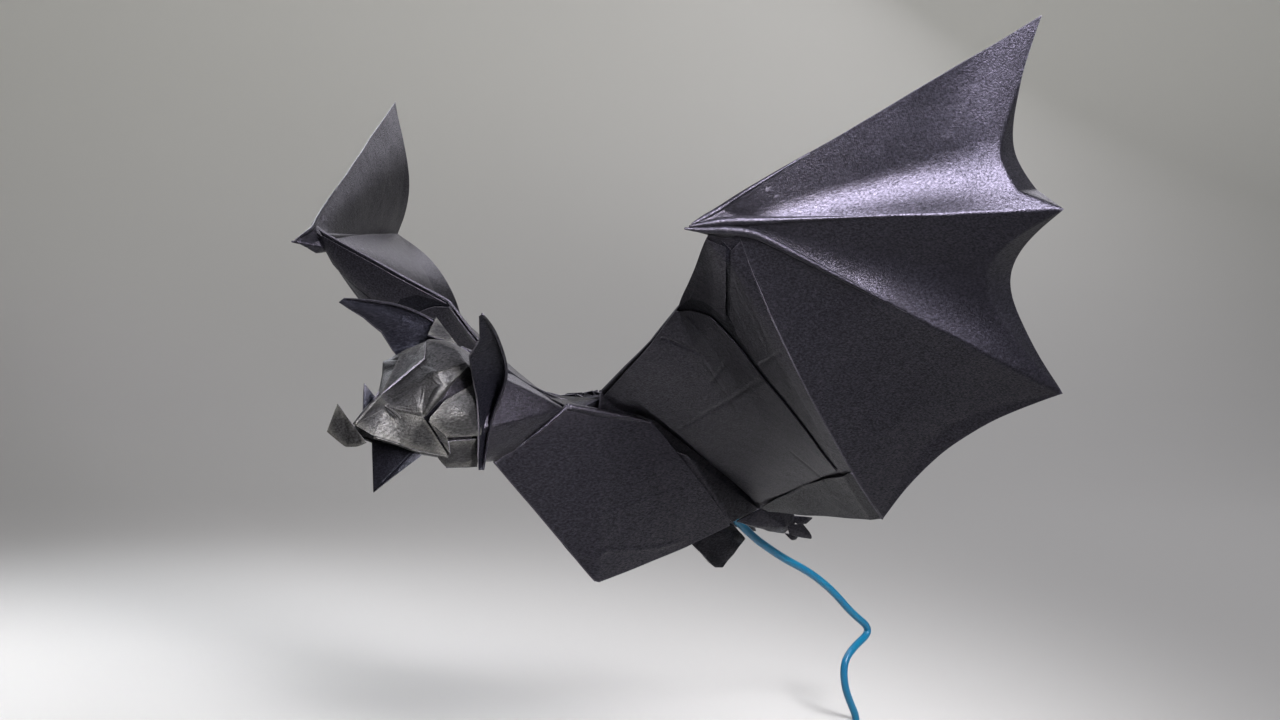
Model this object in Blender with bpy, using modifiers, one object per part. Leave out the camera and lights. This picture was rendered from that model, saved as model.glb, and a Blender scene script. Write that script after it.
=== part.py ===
# Origami bat of one folded black sheet, held up by a bent, plastic coated wire.
# Units are metres, the bat faces -Y, +X is its left and +Z is up.
# The origin is the middle of the cut lower end of the wire.
import math

import bmesh
import bpy
from mathutils import Vector

MM = 0.001

# Paper and wire, in millimetres like every size below
PAPER = 0.6                 # a wing skin, two leaves of paper
LAYERS = 1.1                # where more leaves lie on each other
ARM = 1.6                   # the arm, folded over several times
CLEAR = 0.3                 # free space between the paper and the wire
WIRE_RADIUS = 1.5
WIRE_PLUG = 26              # length of wire hidden in the tail
WIRE_SIDES = 2              # bevel resolution: rings of twelve corners
POINT_PAD = (0.25, 0.18, 0.18)  # half the thickness of a small folded point on each axis

# Wing: the wrist, where the fingers meet, and the finger folds
WRIST = (92, -190.7, 193.4)
LEAD_START = (90, -199.5, 195.0)
THUMB = (89, -206.5, 191.2)
FINGERS = (                     # length, sweep out of straight back, rise
    (104, 36.0, 33.2),
    (93.5, 37.0, 2.4),
    (120.5, 23.0, -24.0),
    (128, -7.6, -45.3),
)
FORWARD_BOW = (0, 0, 0, 4.8)    # how far a finger bends forward at its middle
SAG = (8.0, 8.5, 7.0)           # depth of the hollow between two fingers
SAG_GROWTH = 1.2                # how the hollow deepens from the wrist outwards
SCALLOP = (0.09, 0.13, 0.01)    # how far the edge is drawn in, as part of a finger
HEM = 1.8                       # turn of the outer margin towards the back
HEM_START = 0.86
FAN_START = 0.04                # the skins start this far out of the wrist
WRIST_REACH = 0.10              # the pressed folds of the wrist end this far out

# Arm: corners of the inner wing panel
ARM_FRONT = (88, -196.2, 189.6)
ARM_LEAD = ((16, -163.5, 143.0), (29.5, -166.3, 151.8), (40.5, -166.9, 159.8), (53, -167.8, 171.0))
ARM_REAR = (13, -82.2, 97.0)
ARM_OUTER = 0.80                # share of the panel inside its front corner
ARM_SAG = 3.0
LEAF_ELBOW = 0.60               # share of the panel inside the elbow
LEAF_SLIT = (0.66, 0.88)        # the leaf's slanting outer edge, in front and behind
LEAF_REACH = (0.05, 0.94, 0.82) # its front edge, and its rear edge inside and outside
LEAF_LIFT = 0.6
LEAF = 1.2

# Body: the folded cape over its back and flanks, and the wall inside it
CAPE_FOOT = ((0.2, -194.2, 122.2), (0.2, -149.5, 78.1), (8.5, -113, 86.7), (16, -99.8, 93.0))
CAPE_TOP = ((12.5, -175, 138.8), (20, -144.7, 132.4))
CAPE_RIDGE = ((-0.6, -172, 141.0), (-0.6, -146, 137.0))
CAPE_FOLD = 0.75            # the top fold's place between foot and ridge
CAPE_BULGE = 1.6
WALL_FRONT = ((4, -158, 104), (10, -160, 122), (13, -161, 141.2), (0, -160, 139.4))
WALL_REAR = ((5.5, -97, 90.2), (9.0, -90, 92.5), (13, -82.2, 97), (0, -80, 99.5))
GRIP = ((10.5, -84.5, 97), (8, -87, 92), (11, -98, 104), (8.5, -99, 93.5))  # folds round the wire
PLEATS = ((2, -168, 139.2), (6, -158, 141.0), (13, -161, 141.8), (10, -168, 137.5), (11, -150, 136))

# Neck and head corners on the left, used on both sides
NECK = ((0, -188.3, 150.2), (0, -166.0, 139.2), (12.5, -175.5, 138.6), (0.5, -193.5, 122.5),
        (7, -207, 150.5), (5.5, -210.5, 123.4), (11, -209.5, 134), (4, -184, 126))
SKULL = ((6, -219.5, 160.4), (12.5, -222.5, 154.0), (12.5, -213, 150), (12, -211, 131.0),
         (10, -229, 138.7), (2.4, -234.4, 144.8), (8, -220.9, 126.6), (5, -209, 122.4),
         (7, -204, 150.0), (0, -238, 134), (5, -236.5, 133.2))
SNOUT = ((2.2, -233, 146.0), (0.9, -246.0, 137.2), (4.2, -240.8, 133.4), (6.5, -229, 132.5),
         (7, -229, 139))

# Ears as their front and rear edges from tip to root, left then right
EAR_EDGES = (
    (((31, -226.8, 167.6), (23.5, -221.8, 161.5), (15.5, -217.5, 155.0), (12.5, -212, 145),
      (12.5, -211.5, 133), (9, -208.8, 122.0)),
     ((31, -225.0, 168.6), (24, -213.6, 161.2), (19.5, -207, 154.9), (15.5, -203.1, 149.5),
      (12.5, -204.5, 138.5), (9.6, -206.6, 121.6))),
    (((-31, -229.2, 171.2), (-22, -226.4, 166.6), (-15, -225.1, 162.4), (-12, -223.4, 157.0),
      (-11.5, -216, 148), (-10, -211, 138)),
     ((-31, -227.2, 172.4), (-25, -221, 171.6), (-19, -215.2, 170.2), (-11, -207.7, 166.0),
      (-8.5, -204.5, 155), (-9, -207, 138))),
)
EAR_CUP = 4.0
EAR_HOLLOW = (0, 0.8, -0.3)     # the way the cupped ear is hollowed

# Small folded points as base corners and tip
NOSE_LEAF = ((3.0, -244.3, 131.8), (-2.0, -246.4, 131.3), (-5, -252.1, 135.6), (-2.5, -249.4, 142.9),
             (1, -246.5, 136.6), (0, -243.5, 136.0))
LOWER_JAW = ((6, -226.4, 128.8), (-5, -237.0, 131.0), (0, -240.1, 117.6), (0, -229.0, 127.0))
NOSE_HORN = ((-1.5, -236, 143.6), (-1.5, -241, 139.0), (-5, -239.9, 148.6), (-4.5, -237, 147.6))
TAIL_FIN = ((-4, -103, 86.5), (-4, -85, 74), (-4, -73.5, 84), (-5.5, -84, 95), (-8, -97, 93),
            (-5.4, -87, 76))
LEG = ((13, -90, 99), (8, -90, 92.6), (13, -64, 94), (11, -63, 84.6), (15, -64, 89), (9, -66, 91))
TOE_ROOT = ((13, -70, 93), (14.5, -68, 87.5), (10.5, -68, 87.5))
TOES = ((14.5, -47.1, 89.9), (13.5, -48.1, 81.3), (10.5, -57.5, 81.7))

# Wire: side view of its bends from the cut end up, as back and up
WIRE_BENDS = (
    (0, 0), (0, 1.5), (-3.8, 7.5), (-7.4, 14), (-8.7, 20), (-8.2, 24.8), (-5.2, 28.1), (0.5, 31.0),
    (5.8, 32.8), (8.2, 34.9), (6.6, 37.8), (1.6, 41), (-5.3, 45.8), (-15.1, 54),
    (-23.2, 59.6), (-33, 65.4), (-48.3, 72.5), (-56.9, 77.2), (-65.3, 82), (-71.2, 86.3),
)
WIRE_AIM = (-0.80, 0.60)        # direction of the plug in the tail


def clear_scene():
    for thing in list(bpy.data.objects):
        bpy.data.objects.remove(thing, do_unlink=True)


def make_collection(name):
    group = bpy.data.collections.new(name)
    bpy.context.scene.collection.children.link(group)
    return group


def make_material(name, colour, roughness):
    paint = bpy.data.materials.new(name)
    paint.use_nodes = True
    shader = paint.node_tree.nodes["Principled BSDF"]
    shader.inputs["Base Color"].default_value = (*colour, 1.0)
    shader.inputs["Roughness"].default_value = roughness
    return paint


def place(corner, side=1):
    return Vector((side * corner[0], corner[1], corner[2])) * MM


def along(corners, part, side=1):
    """The point at a part of the way along a folded line of evenly numbered corners."""
    step = part * (len(corners) - 1)
    first = min(int(step), len(corners) - 2)
    return place(corners[first], side).lerp(place(corners[first + 1], side), step - first)


def finger_tip(number, side):
    length, out, rise = FINGERS[number]
    out, rise = math.radians(out), math.radians(rise)
    reach = (length * math.sin(out) * math.cos(rise),
             length * math.cos(out) * math.cos(rise),
             length * math.sin(rise))
    return place(WRIST, side) + place(reach, side)


def finger_line(number, side):
    """The fold of a finger, from the wrist (0) to its tip (1)."""
    start = place(LEAD_START if number == 0 else WRIST, side)
    tip = finger_tip(number, side)

    def line(reach):
        bow = FORWARD_BOW[number] * 4 * reach * (1 - reach)
        return start.lerp(tip, reach) - Vector((0, bow, 0)) * MM

    return line


def new_object(name, bm, group):
    mesh = bpy.data.meshes.new(name)
    bm.to_mesh(mesh)
    bm.free()
    thing = bpy.data.objects.new(name, mesh)
    group.objects.link(thing)
    return thing


def sheet(name, shape, columns, rows, thickness, group, even=True):
    """A flat grid bent to shape(across, down) and given the thickness of the paper."""
    bm = bmesh.new()
    bmesh.ops.create_grid(bm, x_segments=columns, y_segments=rows, size=0.5)
    for vert in bm.verts:
        vert.co = shape(vert.co.x + 0.5, vert.co.y + 0.5)
    thing = new_object(name, bm, group)
    shell = thing.modifiers.new("Thickness", 'SOLIDIFY')
    shell.thickness = thickness * MM
    shell.offset = 0.0
    shell.use_even_offset = even
    shell.thickness_clamp = 1.0
    return thing


def block(name, corners, group):
    """Folded layers pressed together: the hull of their corners."""
    bm = bmesh.new()
    for corner in corners:
        bm.verts.new(corner)
    bmesh.ops.convex_hull(bm, input=bm.verts)
    bmesh.ops.recalc_face_normals(bm, faces=bm.faces)
    return new_object(name, bm, group)


def both_sides(corners):
    return [place(corner, side) for corner in corners for side in (1, -1)]


def padded(corners):
    """Corners of a small folded point, each doubled to give it a thickness."""
    return [place(corner) + place(POINT_PAD) * way for corner in corners for way in (1, -1)]


def hand_shape(side):
    """The fanned hand: sharp folds at the fingers, hollows and a scalloped edge between."""
    spines = [finger_tip(number, side) - place(WRIST, side) for number in range(len(FINGERS))]
    lines = [finger_line(number, side) for number in range(len(FINGERS))]
    panels = len(FINGERS) - 1

    def shape(across, down):
        reach = FAN_START + (1 - FAN_START) * down
        panel = min(int(across * panels), panels - 1)
        part = across * panels - panel
        hollow = 4 * part * (1 - part)
        rear = spines[panel].cross(spines[panel + 1]).normalized() * side
        drawn = reach * (1 - SCALLOP[panel] * hollow * reach ** 2)
        turn = max(0.0, (down - HEM_START) / (1 - HEM_START)) ** 2
        depth = SAG[panel] * hollow * reach ** SAG_GROWTH + HEM * turn * hollow
        return lines[panel](drawn).lerp(lines[panel + 1](drawn), part) + rear * depth * MM

    return shape


def arm_shape(side, lift=0.0):
    """The inner wing panel between the body, the leading edge and the last finger."""
    lead = (*ARM_LEAD, ARM_FRONT)
    last = len(FINGERS) - 1
    outer = finger_line(last, side)
    root = [place(corner, side) for corner in (ARM_LEAD[0], ARM_REAR)]
    chord = (outer(1) - outer(0)).cross(root[0] - outer(0))
    front = chord.normalized() * -side

    def shape(across, down):
        if across < ARM_OUTER:
            edge = along(lead, across / ARM_OUTER, side)
        else:
            edge = place(ARM_FRONT, side).lerp(outer(0), (across - ARM_OUTER) / (1 - ARM_OUTER))
        bow = outer(down) - outer(0).lerp(outer(1), down)
        hollow = 16 * across * (1 - across) * down * (1 - down)
        skin = edge.lerp(root[1].lerp(outer(1), across), down) + bow * across ** 2
        return skin + front * (lift - ARM_SAG * hollow) * MM

    return shape


def leaf_shape(side):
    """The second leaf that lies on the arm panel, up to its slanting slit."""
    arm = arm_shape(side, LEAF_LIFT)
    front, rear_inside, rear_outside = LEAF_REACH

    def shape(across, down):
        rear = rear_inside + (rear_outside - rear_inside) * across
        slit = LEAF_SLIT[0] + (LEAF_SLIT[1] - LEAF_SLIT[0]) * down
        outward = across * ARM_OUTER
        if outward > LEAF_ELBOW:
            beyond = (outward - LEAF_ELBOW) / (ARM_OUTER - LEAF_ELBOW)
            outward = LEAF_ELBOW + beyond * (slit - LEAF_ELBOW)
        return arm(outward, front + (rear - front) * down)

    return shape


def cape_shape(side):
    """One half of the cape: a flat flank from its foot to the top fold, then the back."""
    def shape(across, down):
        foot = along(CAPE_FOOT, down, side)
        fold = along(CAPE_TOP, down, side)
        if across > CAPE_FOLD:
            return fold.lerp(along(CAPE_RIDGE, down, side), (across - CAPE_FOLD) / (1 - CAPE_FOLD))
        part = across / CAPE_FOLD
        bulge = CAPE_BULGE * 4 * part * (1 - part)
        return foot.lerp(fold, part) + Vector((side * bulge, 0, 0)) * MM

    return shape


def wall_shape(across, down):
    """The body wall inside the cape, round the back, open below and behind."""
    side = 1 if across < 0.5 else -1
    turn = 1 - abs(2 * across - 1)
    return along(WALL_FRONT, turn, side).lerp(along(WALL_REAR, turn, side), down)


def ear_shape(edges):
    def shape(across, down):
        front = along(edges[0], down)
        rear = along(edges[1], down)
        cup = EAR_CUP * 4 * across * (1 - across) * math.sin(math.pi * down)
        return front.lerp(rear, across) + place(EAR_HOLLOW) * cup

    return shape


def wing_pieces(side, name, group):
    wrist = [place(corner, side) for corner in (THUMB, LEAD_START, ARM_FRONT)]
    tips = [finger_tip(number, side) for number in range(len(FINGERS))]
    wrist += [place(WRIST, side).lerp(tip, WRIST_REACH) for tip in tips[1:]]
    wrist += [place(LEAD_START, side).lerp(tips[0], WRIST_REACH)]
    return [
        sheet("hand_" + name, hand_shape(side), 18, 10, PAPER, group),
        sheet("arm_" + name, arm_shape(side), 10, 6, ARM, group),
        sheet("leaf_" + name, leaf_shape(side), 8, 6, LEAF, group),
        block("wrist_" + name, wrist, group),
    ]


def body_pieces(group):
    pieces = [
        sheet("wall", wall_shape, 12, 8, LAYERS, group),
        block("pleats", both_sides(PLEATS), group),
        block("grip", both_sides(GRIP), group),
        block("tail", [place(corner) for corner in TAIL_FIN], group),
    ]
    for side, name in ((1, "left"), (-1, "right")):
        pieces.append(sheet("cape_" + name, cape_shape(side), 8, 9, LAYERS, group))
        leg = [place(corner, side) for corner in LEG]
        pieces.append(block("leg_" + name, leg, group))
        for number, toe in enumerate(TOES):
            claw = [place(corner, side) for corner in (*TOE_ROOT, toe)]
            pieces.append(block("toe_%s_%d" % (name, number), claw, group))
    return pieces


def head_pieces(group):
    pieces = [
        block("neck", both_sides(NECK), group),
        block("skull", both_sides(SKULL), group),
        block("snout", both_sides(SNOUT), group),
        block("nose_leaf", padded(NOSE_LEAF), group),
        block("nose_horn", padded(NOSE_HORN), group),
        block("jaw", padded(LOWER_JAW), group),
    ]
    for edges, name in zip(EAR_EDGES, ("left", "right")):
        pieces.append(sheet("ear_" + name, ear_shape(edges), 6, 10, PAPER, group, even=False))
    return pieces


def wire_centre():
    points = [Vector((0, back, up)) * MM for back, up in WIRE_BENDS]
    aim = Vector((0, *WIRE_AIM)).normalized()
    return [*points, points[-1] + aim * WIRE_PLUG * MM]


def wire_mesh(name, radius, points, group):
    """A round wire along the points, made a mesh with its caps welded on."""
    curve = bpy.data.curves.new(name, 'CURVE')
    curve.dimensions = '3D'
    curve.bevel_depth = radius * MM
    curve.bevel_resolution = WIRE_SIDES
    curve.use_fill_caps = True
    spline = curve.splines.new('POLY')
    spline.points.add(len(points) - 1)
    for slot, point in zip(spline.points, points):
        slot.co = (*point, 1.0)
    draft = bpy.data.objects.new(name + "_curve", curve)
    group.objects.link(draft)
    bpy.context.view_layer.update()
    found = draft.evaluated_get(bpy.context.evaluated_depsgraph_get())
    mesh = bpy.data.meshes.new_from_object(found)
    bpy.data.objects.remove(draft, do_unlink=True)
    bm = bmesh.new()
    bm.from_mesh(mesh)
    bmesh.ops.remove_doubles(bm, verts=bm.verts, dist=0.00001)
    bmesh.ops.recalc_face_normals(bm, faces=bm.faces)
    bpy.data.meshes.remove(mesh)
    return new_object(name, bm, group)


def combine(base, tools, operation):
    for tool in tools:
        step = base.modifiers.new(tool.name, 'BOOLEAN')
        step.operation = operation
        step.solver = 'MANIFOLD'
        step.object = tool
        tool.hide_render = True
        tool.display_type = 'WIRE'


def main():
    clear_scene()
    parts = make_collection("origami_bat")
    tools = make_collection("layers_and_cutters")
    pieces = body_pieces(tools) + head_pieces(tools)
    for side, name in ((1, "left"), (-1, "right")):
        pieces += wing_pieces(side, name, tools)

    paper = pieces[0]
    paper.name = "folded_sheet"
    tools.objects.unlink(paper)
    parts.objects.link(paper)
    combine(paper, pieces[1:], 'UNION')
    centre = wire_centre()
    bore = wire_mesh("wire_bore", WIRE_RADIUS + CLEAR, centre, tools)
    combine(paper, [bore], 'DIFFERENCE')
    paper.data.materials.append(make_material("black_paper", (0.024, 0.022, 0.030), 0.55))

    wire = wire_mesh("display_wire", WIRE_RADIUS, centre, parts)
    wire.data.materials.append(make_material("teal_coating", (0.01, 0.24, 0.40), 0.35))
    for polygon in wire.data.polygons:
        polygon.use_smooth = True


main()
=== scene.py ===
# Origami bat of one sheet of pearly black paper, held up by a bent, coated wire.
# Sizes are written in millimetres and turned to metres where a mesh is made.
import math

import bmesh
import bpy
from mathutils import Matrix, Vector, noise


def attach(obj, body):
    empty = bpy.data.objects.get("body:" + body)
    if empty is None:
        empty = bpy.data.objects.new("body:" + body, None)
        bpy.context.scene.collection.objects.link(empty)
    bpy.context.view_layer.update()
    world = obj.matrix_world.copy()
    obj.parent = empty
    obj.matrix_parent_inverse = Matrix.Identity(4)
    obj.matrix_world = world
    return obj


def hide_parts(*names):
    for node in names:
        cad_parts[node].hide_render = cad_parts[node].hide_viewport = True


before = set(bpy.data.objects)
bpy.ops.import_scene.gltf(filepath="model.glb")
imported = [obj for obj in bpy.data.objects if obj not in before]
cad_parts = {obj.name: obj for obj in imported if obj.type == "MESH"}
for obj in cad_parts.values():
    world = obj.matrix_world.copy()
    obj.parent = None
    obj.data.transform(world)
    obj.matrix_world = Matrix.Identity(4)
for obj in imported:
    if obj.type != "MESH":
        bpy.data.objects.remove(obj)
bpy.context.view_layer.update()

# STUDIO. A pale seamless sweep stands behind the bat and under the wire's cut
# end. A key lamp by the left hand gives the pearly paper its long highlight,
# small ones light the wrist and the side of the head, broad ones fill the room.
MM = 0.001
CAMERA_SPOT = (346.8, -499.1, 177.0)
TOWARDS_CAMERA = (0.682, -0.729, 0.051)
SENSOR_WIDTH = 36.0
FOCAL_LENGTH = 42.19
SWEEP_REACH = 1500
SWEEP_WIDTH = 5200
SWEEP_BACK = 620
SWEEP_RADIUS = 420
SWEEP_STEPS = 60
PAINTED_LIGHT_CLIMB = 500               # height over which the backdrop gets lighter
BAT_MIDDLE = (0, -150, 150)
AIM_REACH = 100


def linear(code):
    """A colour written as sRGB hex, as linear values for a shader."""
    levels = [int(code[start:start + 2], 16) / 255 for start in (1, 3, 5)]
    return [*[v / 12.92 if v <= 0.04045 else ((v + 0.055) / 1.055) ** 2.4 for v in levels], 1.0]


def node(tree, kind, settings=None, **links):
    """Adds a node with its settings; an input, by name or as i and its number, gets a value or link."""
    made = tree.nodes.new("ShaderNode" + kind)
    for key, value in (settings or {}).items():
        setattr(made, key, value)
    for key, value in links.items():
        name = key.replace("_", " ")
        numbered = name[0] == "i" and name[1:].isdigit()
        socket = made.inputs[int(name[1:]) if numbered else name]
        if isinstance(value, bpy.types.NodeSocket):
            tree.links.new(value, socket)
        else:
            socket.default_value = value
    return made


def new_material(name):
    paint = bpy.data.materials.new(name)
    paint.use_nodes = True
    tree = paint.node_tree
    return paint, tree, tree.nodes["Principled BSDF"]


def point_at(thing, place, target):
    thing.location = Vector(place) * MM
    aim = Vector(target) * MM - thing.location
    thing.rotation_euler = aim.to_track_quat('-Z', 'Y').to_euler()


def lamp(name, place, size, power, colour, target=BAT_MIDDLE, spread=180):
    """A round lamp with its width, its power in watts and its beam in degrees."""
    light = bpy.data.lights.new(name, 'AREA')
    light.shape = 'DISK'
    light.size = size * MM
    light.energy = power
    light.spread = math.radians(spread)
    light.color = linear(colour)[:3]
    thing = bpy.data.objects.new(name, light)
    bpy.context.scene.collection.objects.link(thing)
    point_at(thing, place, target)


scene = bpy.context.scene
scene.view_settings.view_transform = 'Standard'
camera = bpy.data.objects.new("camera", bpy.data.cameras.new("camera"))
camera.data.sensor_width = SENSOR_WIDTH
camera.data.lens = FOCAL_LENGTH
camera.data.clip_start = 10 * MM
scene.collection.objects.link(camera)
point_at(camera, CAMERA_SPOT, Vector(CAMERA_SPOT) - Vector(TOWARDS_CAMERA) * AIM_REACH)
scene.camera = camera

lamp("key_lamp", (373, -200, 350), 190, 1.05, "#fbf8ff", (118, -145, 195), 64)
lamp("wrist_lamp", (396, -255, 262), 120, 0.08, "#fbf8ff", (104, -174, 196), 24)
lamp("side_lamp", (430, -240, 205), 140, 0.17, "#fffaf0", (0, -234, 142), 22)
lamp("room_lamp", (500, -350, 1300), 900, 7.0, "#fbf8ff")
lamp("back_lamp", (-320, 800, 760), 600, 3.0, "#f6f3ff")
lamp("overhead_lamp", (-150, -100, 950), 500, 1.5, "#f6f3ff")
lamp("front_lamp", (50, -1150, 380), 500, 1.3, "#fff8ee")
lamp("floor_lamp", (-620, -120, 520), 400, 1.0, "#f4f6ff", (-250, -270, 0), 70)

world = bpy.data.worlds.new("soft_room")
scene.world = world
world.use_nodes = True
world.node_tree.nodes["Background"].inputs["Color"].default_value = linear("#dfe0e4")
world.node_tree.nodes["Background"].inputs["Strength"].default_value = 0.25

bm = bmesh.new()
bmesh.ops.create_grid(bm, x_segments=1, y_segments=SWEEP_STEPS, size=1)
view = Vector((TOWARDS_CAMERA[0], TOWARDS_CAMERA[1], 0)).normalized()
across_view = Vector((-view.y, view.x, 0))
flat = SWEEP_BACK + SWEEP_REACH
for vert in bm.verts:
    run = (vert.co.y + 1) / 2 * (flat + SWEEP_RADIUS * math.pi / 2 + SWEEP_REACH)
    turn = min(max((run - flat) / SWEEP_RADIUS, 0), math.pi / 2)
    back = min(run, flat) + SWEEP_RADIUS * math.sin(turn)
    rise = SWEEP_RADIUS * (1 - math.cos(turn)) + max(0, run - flat - SWEEP_RADIUS * math.pi / 2)
    ground = across_view * vert.co.x * SWEEP_WIDTH / 2 - view * (back - SWEEP_REACH)
    vert.co = (ground + Vector((0, 0, rise))) * MM
bmesh.ops.recalc_face_normals(bm, faces=bm.faces)
mesh = bpy.data.meshes.new("pale_sweep")
bm.to_mesh(mesh)
bm.free()
mesh.polygons.foreach_set("use_smooth", [True] * len(mesh.polygons))
sweep = bpy.data.objects.new("pale_sweep", mesh)
scene.collection.objects.link(sweep)
# Matt backdrop paper, no gloss. Its colour is painted from a light grey floor to a near white wall: painted
# light, standing in for the brighter light on the wall.
paint, tree, shader = new_material("pale_backdrop_paper")
shader.inputs["Roughness"].default_value = 0.9
shader.inputs["Specular IOR Level"].default_value = 0.1
height = node(tree, "SeparateXYZ", Vector=node(tree, "TexCoord").outputs["Object"]).outputs["Z"]
painted_light_climb = node(tree, "MapRange", {"interpolation_type": 'SMOOTHSTEP'}, Value=height, From_Max=PAINTED_LIGHT_CLIMB * MM)
tone = node(tree, "Mix", {"data_type": 'RGBA'}, i0=painted_light_climb.outputs[0], i6=linear("#b0b0ac"),
            i7=linear("#efefe6"))
tree.links.new(tone.outputs[2], shader.inputs["Base Color"])
mesh.materials.append(paint)


# WING HANDS. Each is the folded sheet of black pearlescent craft paper, fanned out
# from the wrist: four fingers are sharp folds, the skins hollow between them, and
# the outer margin is turned over. Sizes given by side are for the left (1) and right.
WRIST = (92, -190.7, 193.4)
LEAD_START = (90, -199.5, 195.0)    # the leading finger starts ahead of the others
FINGERS = (                     # length, sweep out of straight back, rise
    (104, 36.0, 33.2),
    (93.5, 37.0, 2.4),
    (120.5, 23.0, -24.0),
    (128, -7.6, -45.3),
)
FORWARD_BOW = (0, 0, 0, 4.8)    # only the last finger is bent
HOLLOW = {1: (11, 10, 7.5), -1: (12, 12.5, 7.5)}
HOLLOW_AT = {1: (0.72, 0.68, 0.50), -1: (0.55, 0.45, 0.50)}  # where the skin is deepest
HOLLOW_SOFT = {1: (1.0, 1.2, 1.6), -1: (1.6, 1.5, 1.6)}      # how round the valley is there
HOLLOW_GROWTH = 1.2             # how the hollow deepens away from the wrist
HOLLOW_CLOSE = {1: (0.45, 0.35, 0.2), -1: (0.0, 0.0, 0.2)}   # how much shallower at the margin
CLOSE_FROM = 0.6                # part of the finger where that starts, and over which it grows
CLOSE_OVER = 0.35
SCALLOP = {1: (0.09, 0.13, 0.05), -1: (0.09, 0.06, 0.05)}    # how far the outer edge is drawn in
MARGIN = (0.10, 0.16, 0.06)     # the turned margin's widest part, as part of a finger
MARGIN_FROM = 0.25              # where between two fingers the first margin starts and is full
MARGIN_OVER = 0.45
MARGIN_END = 0.12
MARGIN_TURN = {1: (5.5, 4.5, -1.0), -1: (0.5, 2.0, -1.0)}   # turned back, or forward
HAND_CREASES = ((0.282, 0.518, 0.168, 0.695, 0.07), (0.168, 0.695, 0.068, 0.827, 0.07))
CREASE_WIDTH = 0.008            # half the width of an old fold line, as part of a panel
FAN_START = 0.04                # the skins start inside the pressed wrist
HAND_GRID = (225, 130)
SKIN = 0.5
CRUMPLE = 0.35
CRUMPLE_SIZE = 17
CRUMPLE_SEED = 3                # the same uneven paper at each run
FIBRE_GRAIN = 0.42              # real fibres are about 0.03 wide: drawn as coarse as they need to show
MICA_GRAIN = 0.5                # real flakes are about 0.05 wide: drawn as coarse as they need to show
DYE_CLOUDS = 26
HAND_DENTS = 5


def spot(corner, side=1):
    return Vector((side * corner[0], corner[1], corner[2]))


def hump(part):
    """0 at both ends of a way and 1 in its middle."""
    return 4 * part * (1 - part)


def smooth_step(part):
    """0 before the start, 1 after the end, and a soft rise between."""
    part = min(max(part, 0), 1)
    return part * part * (3 - 2 * part)


def along(corners, part):
    """The point at a part of the way along a folded line of evenly numbered corners."""
    step = min(max(part, 0.0), 1.0) * (len(corners) - 1)
    first = min(int(step), len(corners) - 2)
    return Vector(corners[first]).lerp(Vector(corners[first + 1]), step - first)


def finger_tip(number, side):
    length, out, rise = FINGERS[number]
    out, rise = math.radians(out), math.radians(rise)
    reach = (length * math.sin(out) * math.cos(rise),
             length * math.cos(out) * math.cos(rise),
             length * math.sin(rise))
    return spot(WRIST, side) + spot(reach, side)


def finger_line(number, side):
    start = spot(LEAD_START if number == 0 else WRIST, side)
    tip = finger_tip(number, side)

    def line(reach):
        return start.lerp(tip, reach) - Vector((0, FORWARD_BOW[number] * hump(reach), 0))

    return line


def hollow_between(side, panel, part):
    """Two flat slopes that meet in a soft valley, nearer to the lower finger."""
    deepest, soft = HOLLOW_AT[side][panel], HOLLOW_SOFT[side][panel]
    rise, fall = part / deepest, (1 - part) / (1 - deepest)
    blend = max(soft - abs(rise - fall), 0) / soft
    return min(rise, fall) - blend * blend * soft / 4


def margin_width(panel, part):
    """The turned margin of the first panel widens towards the lower finger."""
    if panel:
        return MARGIN[panel] * hump(part)
    return MARGIN[0] * smooth_step((part - MARGIN_FROM) / MARGIN_OVER) * min(1, (1 - part) / MARGIN_END)


def crease_relief(across, down, creases, width=CREASE_WIDTH):
    """How far old fold lines (both ends, height) stand out of a panel, or sink into it."""
    relief = 0
    for first_across, first_down, last_across, last_down, height in creases:
        run = Vector((last_across - first_across, last_down - first_down))
        reach = Vector((across - first_across, down - first_down))
        part = min(max(reach.dot(run) / run.length_squared, 0), 1)
        relief += height * max(0, 1 - (reach - run * part).length / width)
    return relief


def hand_shape(side):
    spines = [finger_tip(number, side) - spot(WRIST, side) for number in range(len(FINGERS))]
    lines = [finger_line(number, side) for number in range(len(FINGERS))]
    panels = len(FINGERS) - 1

    def shape(across, down):
        reach = FAN_START + (1 - FAN_START) * down
        panel = min(int(across * panels), panels - 1)
        part = across * panels - panel
        rear = spines[panel].cross(spines[panel + 1]).normalized() * side
        drawn = reach * (1 - SCALLOP[side][panel] * hump(part) * reach ** 2)
        margin = 1 - margin_width(panel, part)
        over = max(0.0, down - margin) / MARGIN[panel]
        closing = smooth_step((down - CLOSE_FROM) / CLOSE_OVER)
        depth = HOLLOW[side][panel] * hollow_between(side, panel, part) * reach ** HOLLOW_GROWTH
        depth *= 1 - HOLLOW_CLOSE[side][panel] * closing
        depth += MARGIN_TURN[side][panel] * over - crease_relief(across, down, HAND_CREASES)
        return lines[panel](drawn).lerp(lines[panel + 1](drawn), part) + rear * depth

    return shape


def crumple(bm, depth=CRUMPLE, size=CRUMPLE_SIZE):
    """Hand folded paper is never quite flat."""
    for vert in bm.verts:
        vert.co += noise.noise_vector(vert.co / size) * depth


def bent_grid(shape, columns, rows):
    bm = bmesh.new()
    bmesh.ops.create_grid(bm, x_segments=columns, y_segments=rows, size=0.5)
    for vert in bm.verts:
        vert.co = shape(vert.co.x + 0.5, vert.co.y + 0.5)
    return bm


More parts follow.
